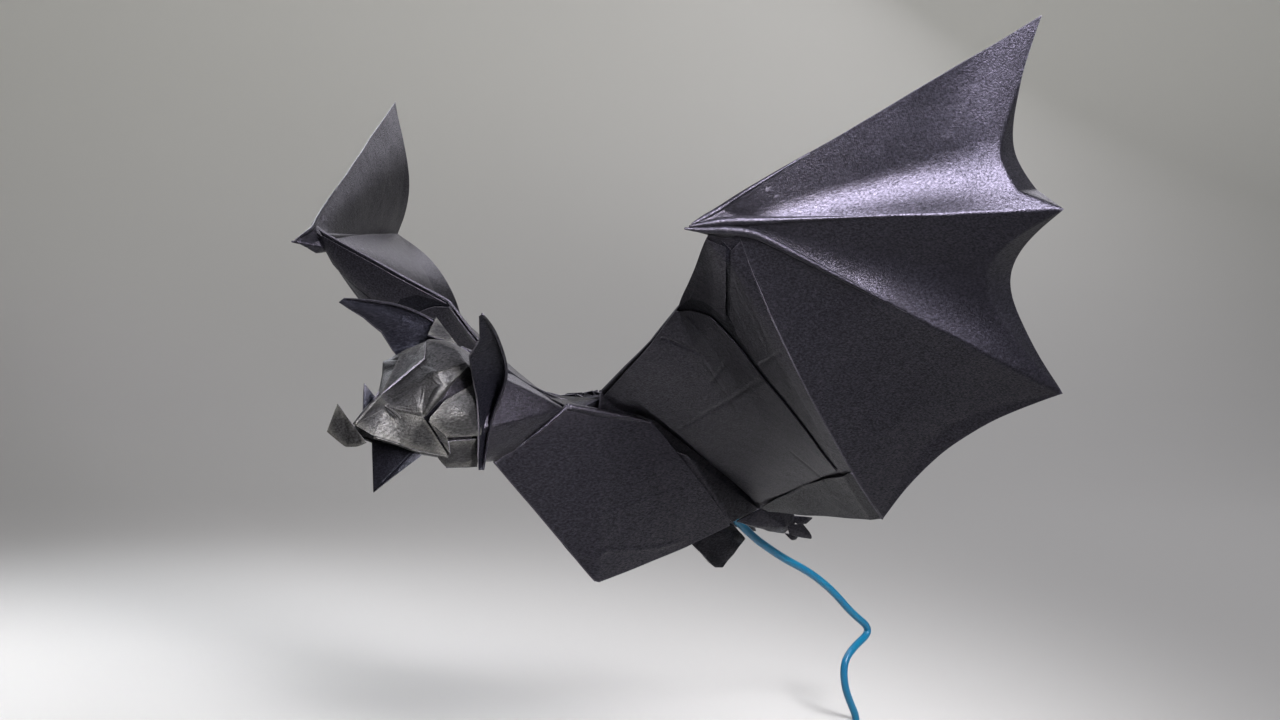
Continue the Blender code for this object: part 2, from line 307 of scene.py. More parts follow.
def paper_piece(name, bm, thickness, even=True, paper=None):
    """Makes a mesh a piece of the folded sheet; a leaf also gets a thickness and cut edges."""
    for face in bm.faces:
        face.smooth = True
    for edge in bm.edges:
        if edge.is_boundary:
            edge.smooth = False
    bmesh.ops.scale(bm, vec=(MM, MM, MM), verts=bm.verts)
    mesh = bpy.data.meshes.new(name)
    bm.to_mesh(mesh)
    bm.free()
    piece = bpy.data.objects.new(name, mesh)
    scene.collection.objects.link(piece)
    mesh.materials.append(paper or black_paper)
    mesh.materials.append(cut_edge)
    if thickness:
        leaf = piece.modifiers.new("leaf", 'SOLIDIFY')
        leaf.thickness = thickness * MM
        leaf.offset = 0.0
        leaf.use_even_offset = even
        leaf.thickness_clamp = 1.0
        leaf.material_offset_rim = 1
    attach(piece, "root")
    return piece


def pearl_paper(name, dark, light, wear_from, wear_colour, rough_range, mica_range, sheen):
    """Pearlescent black craft paper: dark fibres under a grainy mica gloss, worn grey along its folds."""
    paint, tree, shader = new_material(name)
    place = node(tree, "TexCoord").outputs["Object"]
    fibres = node(tree, "TexNoise", Vector=place, Scale=1 / (FIBRE_GRAIN * MM), Detail=2.0,
                  Roughness=0.6)
    clouds = node(tree, "TexNoise", Vector=place, Scale=1 / (DYE_CLOUDS * MM), Detail=3.0)
    hairs = node(tree, "TexNoise", Vector=node(
        tree, "Mapping", Vector=place, Rotation=(0.9, 0.7, 0.3), Scale=(1.0, 0.4, 1.0)).outputs[0],
        Scale=1 / (MICA_GRAIN * MM), Detail=2.0)
    ground = node(tree, "Mix", {"data_type": 'RGBA'}, i0=clouds.outputs["Fac"],
                  i6=linear(dark), i7=linear(light))
    speck = node(tree, "MapRange", Value=hairs.outputs["Fac"], From_Min=0.56, From_Max=0.72, To_Max=0.25)
    fleck = node(tree, "Mix", {"data_type": 'RGBA'}, i0=speck.outputs[0], i6=ground.outputs[2],
                 i7=linear("#211f27"))
    worn = node(tree, "MapRange", Value=node(tree, "NewGeometry").outputs["Pointiness"],
                From_Min=wear_from, From_Max=wear_from + 0.08, To_Max=0.35)
    worn_soft = node(tree, "Math", {"operation": 'MULTIPLY'}, i0=worn.outputs[0],
                     i1=node(tree, "MapRange", Value=fibres.outputs["Fac"], From_Min=0.3,
                             From_Max=0.6).outputs[0])
    colour = node(tree, "Mix", {"data_type": 'RGBA'}, i0=worn_soft.outputs[0], i6=fleck.outputs[2],
                  i7=linear(wear_colour))
    tree.links.new(colour.outputs[2], shader.inputs["Base Color"])
    rough = node(tree, "MapRange", Value=fibres.outputs["Fac"], From_Min=0.3, From_Max=0.7,
                 To_Min=rough_range[0], To_Max=rough_range[1])
    tree.links.new(rough.outputs[0], shader.inputs["Roughness"])
    grain = node(tree, "Bump", Height=fibres.outputs["Fac"], Strength=0.8, Distance=0.16 * MM)
    dents = node(tree, "Bump", Height=node(tree, "TexNoise", Vector=place, Scale=1 / (HAND_DENTS * MM),
                                           Detail=2.0).outputs["Fac"],
                 Strength=0.35, Distance=0.5 * MM, Normal=grain.outputs[0])
    tree.links.new(dents.outputs[0], shader.inputs["Normal"])
    mica = node(tree, "MapRange", Value=hairs.outputs["Fac"], From_Min=0.3, From_Max=0.7,
                To_Min=mica_range[0], To_Max=mica_range[1])
    tree.links.new(mica.outputs[0], shader.inputs["Specular IOR Level"])
    shader.inputs["Specular Tint"].default_value = linear(sheen)
    return paint


# Coated and calendered: nearly black, with a grainy lilac gloss where it faces a lamp.
black_paper = pearl_paper("pearl_black_craft_paper", "#060608", "#0a0a0c", 0.55, "#5e5c66",
                          (0.28, 0.42), (0.12, 0.44), "#dcd6f2")
# Where it is cut, the grey core shows as a thin, paler and duller line.
cut_edge = pearl_paper("cut_paper_edge", "#2c2b2f", "#403f44", 0.55, "#5e5c66",
                       (0.34, 0.50), (0.12, 0.44), "#dcd6f2")
SIDES = ((1, "left"), (-1, "right"))

noise.seed_set(CRUMPLE_SEED)
for side, name in SIDES:
    bm = bent_grid(hand_shape(side), *HAND_GRID)
    crumple(bm)
    piece = paper_piece("hand_skin_" + name, bm, SKIN)
    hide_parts("folded_sheet")


# WRISTS. Where the fingers meet, all layers are pressed flat and drawn out into a
# narrow beak that points forward, with the ends of the layers showing.
THUMB = (89, -206.5, 191.2)
ARM_FRONT = (88, -196.2, 189.6)
WRIST_REACH = 0.05
WRIST_HEEL = (90.5, -199, 192.6)
FAR_WRIST_HEEL = (90.5, -196.5, 187)
WRIST_PRESS = (-0.5, 0.6, 0)    # the pressed layers lie just inside the folds
WRIST_FOLDS = (                 # name, start off the tip, corners, then finger, parts of it, radii
    ("thumb_lower_lip_", (0, 0, 0), ((90.2, -200.5, 190.9), (92, -192.5, 191.2)),
     2, (0.06, 0.14, 0.3, 0.5), (0.3, 1.0, 1.35, 1.3, 1.0, 0.7, 0.25)),
    ("thumb_upper_lip_", (0.3, 1.5, 0.7), ((90.6, -200, 192.6), (92.4, -192.5, 193.6)),
     1, (0.08, 0.2, 0.45), (0.25, 0.9, 1.3, 1.1, 0.7, 0.2)),
    ("leading_fold_", (0.2, 2.5, 1.2), ((90, -200.3, 194.2), (91, -196.5, 195.9)),
     0, (0.12, 0.3), (0.25, 0.7, 0.8, 0.6, 0.25)),
)
LAST_FINGER_PARTS = (0.02, 0.2, 0.6, 0.999)
LAST_FINGER_RADII = (0.1, 0.45, 0.6, 0.4)
PRESSED_CRUMPLE = 4
ROLL_CORNERS = 5
ROLL_STEPS = 8
WELD = 0.01


def pressed_block(name, corners, soft=0.5, cuts=3, depth=0.25):
    """Pressed layers of paper: the hull of their corners, softened and uneven."""
    bm = bmesh.new()
    for corner in corners:
        bm.verts.new(corner)
    bmesh.ops.convex_hull(bm, input=bm.verts)
    loose = [vert for vert in bm.verts if not vert.link_faces]
    bmesh.ops.delete(bm, geom=loose, context='VERTS')
    bmesh.ops.bevel(bm, geom=bm.edges, offset=soft, segments=2, profile=0.5, affect='EDGES',
                    material=-1, clamp_overlap=True)
    bmesh.ops.triangulate(bm, faces=bm.faces)
    bmesh.ops.subdivide_edges(bm, edges=bm.edges, cuts=cuts, use_grid_fill=True)
    crumple(bm, depth, PRESSED_CRUMPLE)
    bmesh.ops.recalc_face_normals(bm, faces=bm.faces)
    return paper_piece(name, bm, 0)


def tube(points, radii, corners, steps):
    """A round, closed tube along a soft line past the points, with a radius at each."""
    curve = bpy.data.curves.new("draft", 'CURVE')
    curve.dimensions = '3D'
    curve.bevel_depth = 1.0
    curve.bevel_resolution = corners
    curve.use_fill_caps = True
    curve.resolution_u = steps
    spline = curve.splines.new('NURBS')
    spline.points.add(len(points) - 1)
    for knot, point, radius in zip(spline.points, points, radii):
        knot.co = (*point, 1.0)
        knot.radius = radius
    spline.use_endpoint_u = True
    spline.order_u = 3
    draft = bpy.data.objects.new("draft", curve)
    scene.collection.objects.link(draft)
    bpy.context.view_layer.update()
    mesh = bpy.data.meshes.new_from_object(draft.evaluated_get(bpy.context.evaluated_depsgraph_get()))
    bpy.data.objects.remove(draft, do_unlink=True)
    bm = bmesh.new()
    bm.from_mesh(mesh)
    bpy.data.meshes.remove(mesh)
    bmesh.ops.remove_doubles(bm, verts=bm.verts, dist=WELD)
    bmesh.ops.recalc_face_normals(bm, faces=bm.faces)
    return bm


def rolled_fold(name, points, radii, paper=None):
    """A fold rolled between the fingers, thick or thin."""
    return paper_piece(name, tube(points, radii, ROLL_CORNERS, ROLL_STEPS), 0, paper=paper)


for side, name in SIDES:
    fingers = [finger_line(number, side) for number in range(len(FINGERS))]
    corners = [spot(corner, side) for corner in (THUMB, WRIST_HEEL, ARM_FRONT)]
    corners += [spot(WRIST, side).lerp(fingers[number](1), WRIST_REACH) for number in (1, 2, 3)]
    corners.append(fingers[0](WRIST_REACH))
    if side < 0:
        corners.append(spot(FAR_WRIST_HEEL, side))
    pressed_block("wrist_" + name, [corner + spot(WRIST_PRESS, side) for corner in corners], 0.35, 3)
    for label, start, roots, number, parts, radii in WRIST_FOLDS:
        points = [spot(THUMB, side) + spot(start, side)] + [spot(corner, side) for corner in roots]
        rolled_fold(label + name, points + [fingers[number](part) for part in parts], radii)
    rolled_fold("last_finger_" + name, [fingers[3](part) for part in LAST_FINGER_PARTS],
                LAST_FINGER_RADII)


# ARMS. The inner wing is a flat panel of several layers of the sheet between the body,
# the leading edge and the last finger, with loose leaves and slits on its front. At
# its root it is turned back to the body, and a small flap closes the gap above.
ARM_LEAD = ((16, -163.5, 143.0), (29.5, -166.3, 151.8), (40.5, -166.9, 159.8), (53, -167.8, 171.0))
ARM_REAR = (13, -82.2, 97.0)
ARM_OUTER = 0.80                # the leading edge's last corner, as part of the way out
ARM_GRID = (120, 110)
GUSSET_GRID = (20, 60)
FAR_SHOULDER_DROP = 2.0         # the right arm starts lower,
FAR_WRIST_RISE = 6.0            # ends higher at its wrist,
FAR_PUFF = 7.0                  # and is blown forward beside it
FAR_PUFF_AT = (0.8, 0.25)
FAR_PUFF_REACH = 0.25
EDGE_SOFT_DOWN = 0.15
EDGE_SOFT_ACROSS = 0.12
EDGE_FADE = 2.2                 # how soon the bent leading edge gives way to the flat panel
ARM_SAG = 3.0
ARM_BASE = 1.0
LEAF = 0.35
THIN_LEAF = 0.2
LIFT_END = 1.03                 # a loose leaf comes down to the panel at the last finger
LIFT_FADE = 0.1
INNER_LEAF = (((0.0, 0.02), (0.01, 0.2), (0.02, 0.45), (0.03, 0.7), (0.06, 0.93)),
              ((0.58, 0.0), (0.625, 0.055), (0.675, 0.14), (0.700, 0.22), (0.752, 0.40),
               (0.818, 0.59), (0.90, 0.795)))
STRIP_LEAF = (((0.915, 0.062), (0.758, 0.197), (0.742, 0.26), (0.772, 0.40), (0.835, 0.59),
               (0.915, 0.80)),
              ((0.995, 0.055), (0.995, 0.80)))
WRIST_LEAF = (((0.598, 0.0), (0.65, 0.032), (0.687, 0.085), (0.715, 0.145), (0.733, 0.19)),
              ((0.80, 0.0), (0.90, 0.045)))
# Painted shade: near black strips under the two slits and along the panel's foot below the lower fold, where
# the gaps lie in shadow.
SLIT_SHADE_LEAF = (((0.56, 0.005), (0.60, 0.06), (0.655, 0.15), (0.68, 0.24), (0.735, 0.41),
              (0.80, 0.6), (0.885, 0.79)),
             ((0.615, 0.0), (0.68, 0.045), (0.735, 0.14), (0.75, 0.24), (0.79, 0.41),
              (0.855, 0.6), (0.92, 0.80)))
SHORT_SLIT_SHADE = (((0.885, 0.03), (0.72, 0.17)), ((0.935, 0.08), (0.78, 0.22)))
CORNER_SHADE_LEAF = (((0.10, 0.965), (0.32, 0.90), (0.55, 0.85), (0.77, 0.825), (0.995, 0.808)),
               ((0.14, 0.995), (0.34, 0.995), (0.56, 0.995), (0.78, 0.995), (0.995, 0.995)))
ARM_CREASES = (
    (0.764, 0.386, 0.950, 0.382, -0.25), (0.127, 0.377, 0.741, 0.423, -0.3),
    (0.627, 0.286, 0.482, 0.305, -0.25), (0.455, 0.027, 0.536, 0.186, -0.35),
    (0.655, 0.705, 0.768, 0.832, -0.3), (0.536, 0.186, 0.50, 0.45, 0.15),
    (0.945, 0.809, 0.582, 0.850, 0.3), (0.582, 0.850, 0.400, 0.891, 0.3),
)
ROOT_TURN = 5.0                 # how far the panel's root is turned back, and where
ROOT_WIDTH = 0.10
ROOT_FROM = 0.1
ROOT_OVER = 0.2
ROOT_END = 0.1
GUSSET_END = ((6, -158, 118), (8, -95, 92))
ROOT_FLAP = {"t": (17.5, -134, 122.5), "b": (20, -127, 120.0), "c": (16, -84.3, 97.2),
             "d": (16, -98.7, 94.3), "h": (14, -125, 110)}
FACET_CRUMPLE = 5


def arm_shape(side, lift=0.0):
    lead = [spot(corner, side) for corner in (*ARM_LEAD, ARM_FRONT)]
    if side < 0:
        lead[0].z -= FAR_SHOULDER_DROP
        lead[1].z -= FAR_SHOULDER_DROP / 2
        lead[4].z += FAR_WRIST_RISE
    outer = finger_line(len(FINGERS) - 1, side)
    root = [spot(corner, side) for corner in (ARM_LEAD[0], ARM_REAR)]
    front = (outer(1) - outer(0)).cross(root[0] - outer(0)).normalized() * -side

    def front_edge(across):
        if across < ARM_OUTER:
            return along(lead, across / ARM_OUTER)
        return lead[4].lerp(outer(0), (across - ARM_OUTER) / (1 - ARM_OUTER))

    def puff(part, middle):
        return max(0, 1 - ((part - middle) / FAR_PUFF_REACH) ** 2)

    def shape(across, down):
        chord = lead[0].lerp(outer(0), across)
        blur = min(down / EDGE_SOFT_DOWN, 1) * min(across, 1 - across, EDGE_SOFT_ACROSS)
        edge = sum((front_edge(across + blur * shift) for shift in (-1, -0.5, 0, 0.5, 1)), Vector()) / 5
        bow = outer(down) - outer(0).lerp(outer(1), down)
        rise = lift * min(1, (LIFT_END - across) / LIFT_FADE)
        rise += crease_relief(across, down, ARM_CREASES) - ARM_SAG * hump(across) * hump(down)
        rise -= ROOT_TURN * max(0, 1 - across / ROOT_WIDTH) * min(
            max((down - ROOT_FROM) / ROOT_OVER, 0), 1, (1 - down) / ROOT_END)
        if side < 0:
            rise += FAR_PUFF * puff(across, FAR_PUFF_AT[0]) * puff(down, FAR_PUFF_AT[1])
        skin = chord.lerp(root[1].lerp(outer(1), across), down) + bow * across ** 2
        return skin + (edge - chord) * (1 - down) ** EDGE_FADE + front * rise

    return shape


def leaf_on_arm(side, edges, lift):
    """A loose leaf between two lines drawn on the arm panel."""
    arm = arm_shape(side, lift)
    first_line, last_line = ([(*point, 0) for point in line] for line in edges)

    def shape(across, down):
        where = along(first_line, down).lerp(along(last_line, down), across)
        return arm(where.x, where.y)

    return shape


def folded(name, corners, facets, side, crease, leaf, detail=3, depth=0.12, paper=None):
    """Flat facets of paper, given by their corners' letters, joined along soft creases."""
    bm = bmesh.new()
    used = sorted(set("".join(facets)))
    spots = {key: bm.verts.new(spot(corners[key], side)) for key in used}
    for facet in facets:
        bm.faces.new([spots[key] for key in facet])
    bmesh.ops.recalc_face_normals(bm, faces=bm.faces)
    inner = [edge for edge in bm.edges if len(edge.link_faces) == 2]
    if inner:
        bmesh.ops.bevel(bm, geom=inner, offset=crease, segments=2, profile=0.5, affect='EDGES',
                        material=-1, clamp_overlap=True)
    bmesh.ops.triangulate(bm, faces=bm.faces)
    bmesh.ops.subdivide_edges(bm, edges=bm.edges, cuts=detail, use_grid_fill=True)
    crumple(bm, depth, FACET_CRUMPLE)
    return paper_piece(name, bm, leaf, even=False, paper=paper)


# Painted shade: the same paper with less gloss, used where slits, hollows and the jaw lie in shadow, so it
# reads as a near black shadow.
painted_shade_paper = pearl_paper("painted_shade_black_paper", "#050508", "#08080b", 0.58, "#5e5c66",
                              (0.30, 0.44), (0.03, 0.20), "#d2d6f2")
ARM_LEAVES = (                  # name, its two lines, lift off the panel, columns, thickness, paper
    ("inner_leaf_", INNER_LEAF, 1.25, 120, LEAF, black_paper),
    ("strip_leaf_", STRIP_LEAF, 0.9, 120, LEAF, black_paper),
    ("wrist_leaf_", WRIST_LEAF, 1.5, 120, LEAF, black_paper),
    # the last three leaves are painted shade, near black strips in the slits and below the lower fold
    ("slit_leaf_", SLIT_SHADE_LEAF, 0.6, 20, THIN_LEAF, painted_shade_paper),
    ("short_slit_", SHORT_SLIT_SHADE, 0.5, 20, THIN_LEAF, painted_shade_paper),
    ("corner_leaf_", CORNER_SHADE_LEAF, 1.45, 20, THIN_LEAF, painted_shade_paper),
)
LEAF_ROWS = 120

for side, name in SIDES:
    arm, inside = arm_shape(side), [spot(corner, side) for corner in GUSSET_END]
    bm = bent_grid(arm, *ARM_GRID)
    crumple(bm)
    paper_piece("arm_" + name, bm, ARM_BASE)
    bm = bent_grid(lambda across, down: arm(0, down).lerp(along(inside, down), across), *GUSSET_GRID)
    crumple(bm)
    paper_piece("arm_gusset_" + name, bm, LEAF)
    for label, edges, lift, columns, thickness, paper in ARM_LEAVES:
        bm = bent_grid(leaf_on_arm(side, edges, lift), columns, LEAF_ROWS)
        crumple(bm)
        paper_piece(label + name, bm, thickness, paper=paper)
    folded("root_flap_" + name, ROOT_FLAP, ("tbcdh",), side, 0.4, 0.5, 10)


# CAPE. The body is covered by one broad fold that hangs over the back as two flat
# flanks, meets in a keel below and is open behind, with a wall of layers inside.
CAPE_FOOT = ((0.2, -194.2, 122.2), (0.2, -149.5, 78.1), (8.5, -113, 86.7), (16, -99.8, 93.0))
CAPE_TOP = ((12.5, -175, 138.8), (20, -144.7, 132.4))
CAPE_RIDGE = ((-0.6, -172, 141.0), (-0.6, -146, 137.0))
CAPE_FOLD = 0.75
CAPE_BULGE = 1.6
CAPE_LEAF = 0.8
CAPE_GRID = (120, 100)
WALL_GRID = (60, 40)
CAPE_CREASE_WIDTH = 0.014
CAPE_TOP_RADII = (1.1, 1.3, 1.2, 0.8, 0.3)
CAPE_FRONT_RADII = (0.8, 0.6, 0.5, 0.45, 0.3)
CAPE_FRONT_PARTS = (1, 0.75, 0.5, 0.25, 0.025)  # from the fold down the front edge
CAPE_CREASES = ((0.0, 0.232, 0.141, 0.359, 0.3), (0.141, 0.359, 0.055, 0.564, 0.3),
                (0.055, 0.564, 0.045, 0.636, 0.3), (0.30, 0.20, 0.33, 0.80, 0.12))
WALL_FRONT = ((4, -158, 104), (10, -160, 122), (13, -161, 141.2), (0, -160, 139.4))
WALL_REAR = ((5.5, -97, 90.2), (9.0, -90, 92.5), (13, -82.2, 97), (0, -80, 99.5))


def cape_shape(side):
    foot_line, top_line, ridge_line = ([spot(corner, side) for corner in line]
                                       for line in (CAPE_FOOT, CAPE_TOP, CAPE_RIDGE))

    def shape(across, down):
        foot, fold = along(foot_line, down), along(top_line, down)
        if across > CAPE_FOLD:
            return fold.lerp(along(ridge_line, down), (across - CAPE_FOLD) / (1 - CAPE_FOLD))
        part = across / CAPE_FOLD
        out = CAPE_BULGE * hump(part) + crease_relief(across, down, CAPE_CREASES, CAPE_CREASE_WIDTH)
        return foot.lerp(fold, part) + Vector((side * out, 0, 0))

    return shape


def wall_shape(across, down):
    side = 1 if across < 0.5 else -1
    turn = 1 - abs(2 * across - 1)
    front = along([spot(corner, side) for corner in WALL_FRONT], turn)
    return front.lerp(along([spot(corner, side) for corner in WALL_REAR], turn), down)


for side, name in SIDES:
    cape = cape_shape(side)
    bm = bent_grid(cape, *CAPE_GRID)
    crumple(bm)
    paper_piece("cape_" + name, bm, CAPE_LEAF)
    rolled_fold("cape_top_fold_" + name, [cape(CAPE_FOLD, part / 4) for part in range(5)], CAPE_TOP_RADII)
    rolled_fold("cape_front_fold_" + name, [cape(CAPE_FOLD * part, 0.002) for part in CAPE_FRONT_PARTS],
                CAPE_FRONT_RADII)
bm = bent_grid(wall_shape, *WALL_GRID)
crumple(bm)
paper_piece("body_wall", bm, CAPE_LEAF)


# BACK PLEATS. The sheet is gathered between the shoulders in a few small, sharp
# pleats, which lie over the front end of the cape and are held by its folds.
PLEATS = ((2, -168, 138.4), (6, -158, 139.9), (13, -161, 140.4), (10, -168, 137.0), (11, -150, 135.4))
PLEAT_LEAVES = (                # crest line of each small pleat, from the back down the flank
    ((0.5, -158.5, 141.2), (5.0, -160.5, 140.6), (9.5, -164.5, 138.3)),
    ((0.5, -155.5, 141.4), (5.5, -157.5, 141.0), (10.5, -160.5, 137.9)),
    ((0.5, -150.5, 141.8), (6.0, -150.5, 140.6), (12.0, -152.0, 136.9)),
    ((0.5, -148.5, 141.9), (6.5, -147.5, 140.4), (13.0, -148.0, 136.0)),
    ((0.5, -146.5, 141.6), (7.0, -144.5, 139.6), (14.0, -143.5, 134.9)),
)
PLEAT_DROP = 2.2
PLEAT_LEAN = 1.3
PLEAT_HINGE = 0.2
PLEAT_GRID = (6, 24)


def both_sides(corners):
    return [spot(corner, side) for corner in corners for side in (1, -1)]


def pleat_shape(crest, lean):
    def shape(across, down):
        return along(crest, down) - Vector((0, lean * (across - PLEAT_HINGE), PLEAT_DROP * across))

    return shape


pressed_block("back_pleats", both_sides(PLEATS), 0.4, 3)
for side, name in SIDES:
    for number, crest in enumerate(PLEAT_LEAVES):
        lean = PLEAT_LEAN if number % 2 else -PLEAT_LEAN
        pleat = pleat_shape([spot(corner, side) for corner in crest], lean)
        paper_piece("pleat_%s_%d" % (name, number), bent_grid(pleat, *PLEAT_GRID), LEAF)


# NECK. Many layers of the sheet are folded to a wedge here, and the thickest of
# them are rolled between the fingers to a spine along the top.
NECK = ((0, -188.3, 148.0), (0, -166.0, 138.0), (12.0, -175.5, 138.0), (0.5, -193.5, 122.5),
        (7, -207, 153.0), (4, -190, 149), (5.5, -210.5, 123.4), (11, -209.5, 134), (4, -184, 126))
SPINE = ((0, -207, 157.0), (0, -196, 153.2), (0, -188.3, 149.2), (0, -184.2, 146.5), (0, -175.7, 142.9),
         (0, -166.0, 139.6))
SPINE_RADII = (1.2, 1.2, 1.25, 1.2, 1.0, 0.6)
SPINE_EDGE = ((1.6, -206, 154.0), (1.5, -196, 151.4), (1.4, -189.4, 147.6), (1.5, -182.8, 145.0),
              (1.4, -174.6, 141.6), (1.0, -166, 138.7))
SPINE_EDGE_RADII = (0.5, 0.55, 0.55, 0.55, 0.5, 0.3)
pressed_block("neck", both_sides(NECK), 0.6, 4)
rolled_fold("spine_roll", SPINE, SPINE_RADII)
for side, name in SIDES:
    rolled_fold("spine_edge_" + name, [spot(corner, side) for corner in SPINE_EDGE], SPINE_EDGE_RADII)


# HEAD. The skull is folded from small flat facets over a core of hidden layers, with
# a heavy brow, puffed cheeks that stand free of the muzzle, and a short square snout.
CORE = ((5, -218.5, 157.4), (10, -221.5, 151.5), (9.5, -213, 148), (9.5, -211, 132.0),
        (7, -228, 138.0), (1.5, -233.5, 142.6), (6, -220.9, 128.0), (4, -208.5, 123.6),
        (5.5, -205, 148.5), (4.5, -228.5, 128.9), (5.2, -222.3, 126.8), (0, -236.6, 134.6),
        (3.5, -235.5, 134.2))
HEAD = {                        # corners of the facets of the left half
    "H": (0, -219.7, 160.6), "G": (0, -211.5, 159.6), "T": (8, -216.2, 158.0), "R": (12, -215.4, 153.7),
    "V": (9.5, -207.5, 148.5), "O": (5, -205.5, 155.0), "B": (12, -226, 151.6), "M": (0, -225.2, 154.4),
    "N": (9, -227.4, 150.3), "E": (3, -234.7, 144.1), "S": (0, -237.6, 144.6), "P": (9.6, -230.9, 141.1),
    "K": (10.2, -229.4, 138.6), "Q": (13.2, -224.7, 146.7), "D": (3.8, -238.0, 142.3),
    "m": (4.2, -242.7, 134.0), "e": (0, -246.2, 137.2),
    "J": (9.0, -219.9, 126.9), "n": (7.0, -229.3, 128.8), "f": (6.4, -235.6, 131.7),
    "U": (11, -222.5, 143.3), "C": (13.2, -215.5, 138.8), "W": (12.2, -209.8, 132.3),
    "X": (11.2, -221.8, 132.5), "k": (11.2, -228.9, 138.0), "j": (9.6, -219.6, 127.4),
    "w": (10.6, -209.2, 131.2), "x": (9.6, -220.6, 131.2), "c": (6, -206.3, 122.3),
    "b": (4, -216.5, 122.7), "a": (4.5, -220.4, 126.4), "z": (0, -213.5, 123.4), "y": (0, -206.8, 121.6),
    "u": (8.6, -221.5, 143.0), "r": (9.6, -217.5, 150.0), "v": (8.4, -211.0, 146.0),
}
EYELID = ((4.4, -239.0, 142.2), (5.6, -237.9, 141.2), (6.8, -236.8, 140.0), (7.7, -235.9, 138.8))
BROW = ((11.0, -215.2, 152.4), (11.0, -219.5, 150.6), (11.2, -223.6, 147.6), (10.7, -226.8, 143.6),
        (9.8, -229.3, 139.6))
BROW_RADII = (0.5, 1.6, 2.1, 1.8, 0.8)
FAR_HEAD = {                    # corners that lie otherwise on the right
    "B": (12.8, -227.2, 154.2), "N": (9.4, -229.4, 150.6), "a": (4.5, -217, 127.5), "b": (4, -212, 124.5),
}
HEAD_PIECES = (                 # name, facets by their corners, crease radius, thickness
    ("brow", ("HTRBM", "MBN", "MNES", "BRQN", "NQKP", "ENPD", "DPK", "SED", "GOTH", "OVRT"), 0.9, 0.45),
    ("muzzle", ("DKnf", "Dfm", "SDe", "Dme", "KJn"), 0.6, 0.5),
    ("cheek", ("kUC", "UVC", "VWC", "WXC", "XkC"), 0.7, 0.4),
    ("cheek_fold", ("kXj",), 0.3, 0.4),
    ("under_cheek", ("xwcb", "xba", "xaj"), 0.5, 0.45),
    ("temple_pocket", ("Rruv", "RvV"), 0.4, 0.4),
    ("chin", ("bcyz",), 0.4, 0.4),
)
LIP_RADII = (0.5, 0.55, 0.5, 0.4)
LIP_DROP = (0, 0, -0.3)
EYELID_RADII = (0.2, 0.45, 0.5, 0.2)
SNOUT_RADII = (0.7, 0.9, 0.6)
SNOUT_RISE = (0, 0, 0.5)

# Rubbed by many folds, the same paper is duller and greyer, with worn creases.
rubbed_paper = pearl_paper("rubbed_black_craft_paper", "#09090a", "#111112", 0.54, "#62625f",
                           (0.36, 0.52), (0.10, 0.52), "#dfdfe2")
pressed_block("head_core", both_sides(CORE), 0.4, 3)
for side, name in SIDES:
    corners = HEAD if side > 0 else {**HEAD, **FAR_HEAD}
    for label, facets, crease, leaf in HEAD_PIECES:
        folded(label + "_" + name, corners, facets, side, crease, leaf, paper=rubbed_paper)
    lip = [spot(corners[key], side) + Vector(LIP_DROP) for key in "mfnJ"]
    rolled_fold("lip_" + name, lip, LIP_RADII, rubbed_paper)
    rolled_fold("eyelid_" + name, [spot(corner, side) for corner in EYELID], EYELID_RADII, rubbed_paper)
    rolled_fold("brow_roll_" + name, [spot(corner, side) for corner in BROW], BROW_RADII, rubbed_paper)
snout = [Vector(HEAD[key]) for key in "Se"]
snout.insert(1, snout[0].lerp(snout[1], 0.5) + Vector(SNOUT_RISE))
rolled_fold("snout_ridge", snout, SNOUT_RADII, rubbed_paper)


# EARS. Two long points of the sheet, opened to leaves that are cupped towards the
# front, with a doubled rear edge. A small flap covers the root of the right one.
EAR_EDGES = (
    (((31, -226.8, 168.0), (24.5, -220.6, 161.4), (19.5, -220.5, 156.2), (15, -215.4, 149.2),
      (13, -212.0, 143), (12.6, -211.2, 135.4), (11, -210.0, 126.3), (9, -208.3, 121.6)),
     ((31, -225.6, 168.6), (28, -220.1, 166.3), (24, -213.6, 161.2), (20, -207.2, 154.9),
      (17, -203.9, 150.8), (15, -203.0, 146.2), (13, -204.8, 140.3), (11.4, -205.8, 135.2),
      (10.4, -206.0, 129.5), (9.4, -206.8, 121.6))),
    (((-31, -229.2, 171.2), (-22, -226.4, 166.6), (-15, -225.1, 162.4), (-12, -223.4, 157.0),
      (-11.5, -216, 148), (-10, -211, 138)),
     ((-31, -227.2, 172.4), (-25, -221, 171.6), (-19, -215.2, 170.2), (-11, -207.7, 166.0),
      (-8.5, -204.5, 155), (-9, -207, 138))),
)
EAR_CUP = 5.5
EAR_GRID = (30, 60)
EAR_CRUMPLE = (0.25, 8)
EAR_RIM_RADII = (0.25, 0.5, 0.6, 0.6, 0.6, 0.6, 0.55, 0.5, 0.4)
EAR_HOLLOW = {1: (-0.6, 0.75, -0.25), -1: (0, 0.8, -0.3)}
EAR_ROOT = {"a": (11, -207.7, 166.6), "b": (6, -214.9, 161.6), "c": (1, -208.0, 158.6)}


def ear_shape(edges, side):
    def shape(across, down):
        cup = EAR_CUP * hump(across) * math.sin(math.pi * down)
        return along(edges[0], down).lerp(along(edges[1], down), across) + Vector(EAR_HOLLOW[side]) * cup

    return shape


for edges, (side, name) in zip(EAR_EDGES, SIDES):
    bm = bent_grid(ear_shape(edges, side), *EAR_GRID)
    crumple(bm, *EAR_CRUMPLE)
    # The ears use the painted-shade paper: its near black stands in for the shadow in their cupped fronts.
    paper_piece("ear_" + name, bm, SKIN, even=False, paper=painted_shade_paper)
    rolled_fold("ear_rim_" + name, [along(edges[1], part / 8) for part in range(9)], EAR_RIM_RADII)
folded("ear_root_flap", EAR_ROOT, ("abc",), -1, 0.3, 0.5, 6, paper=rubbed_paper)


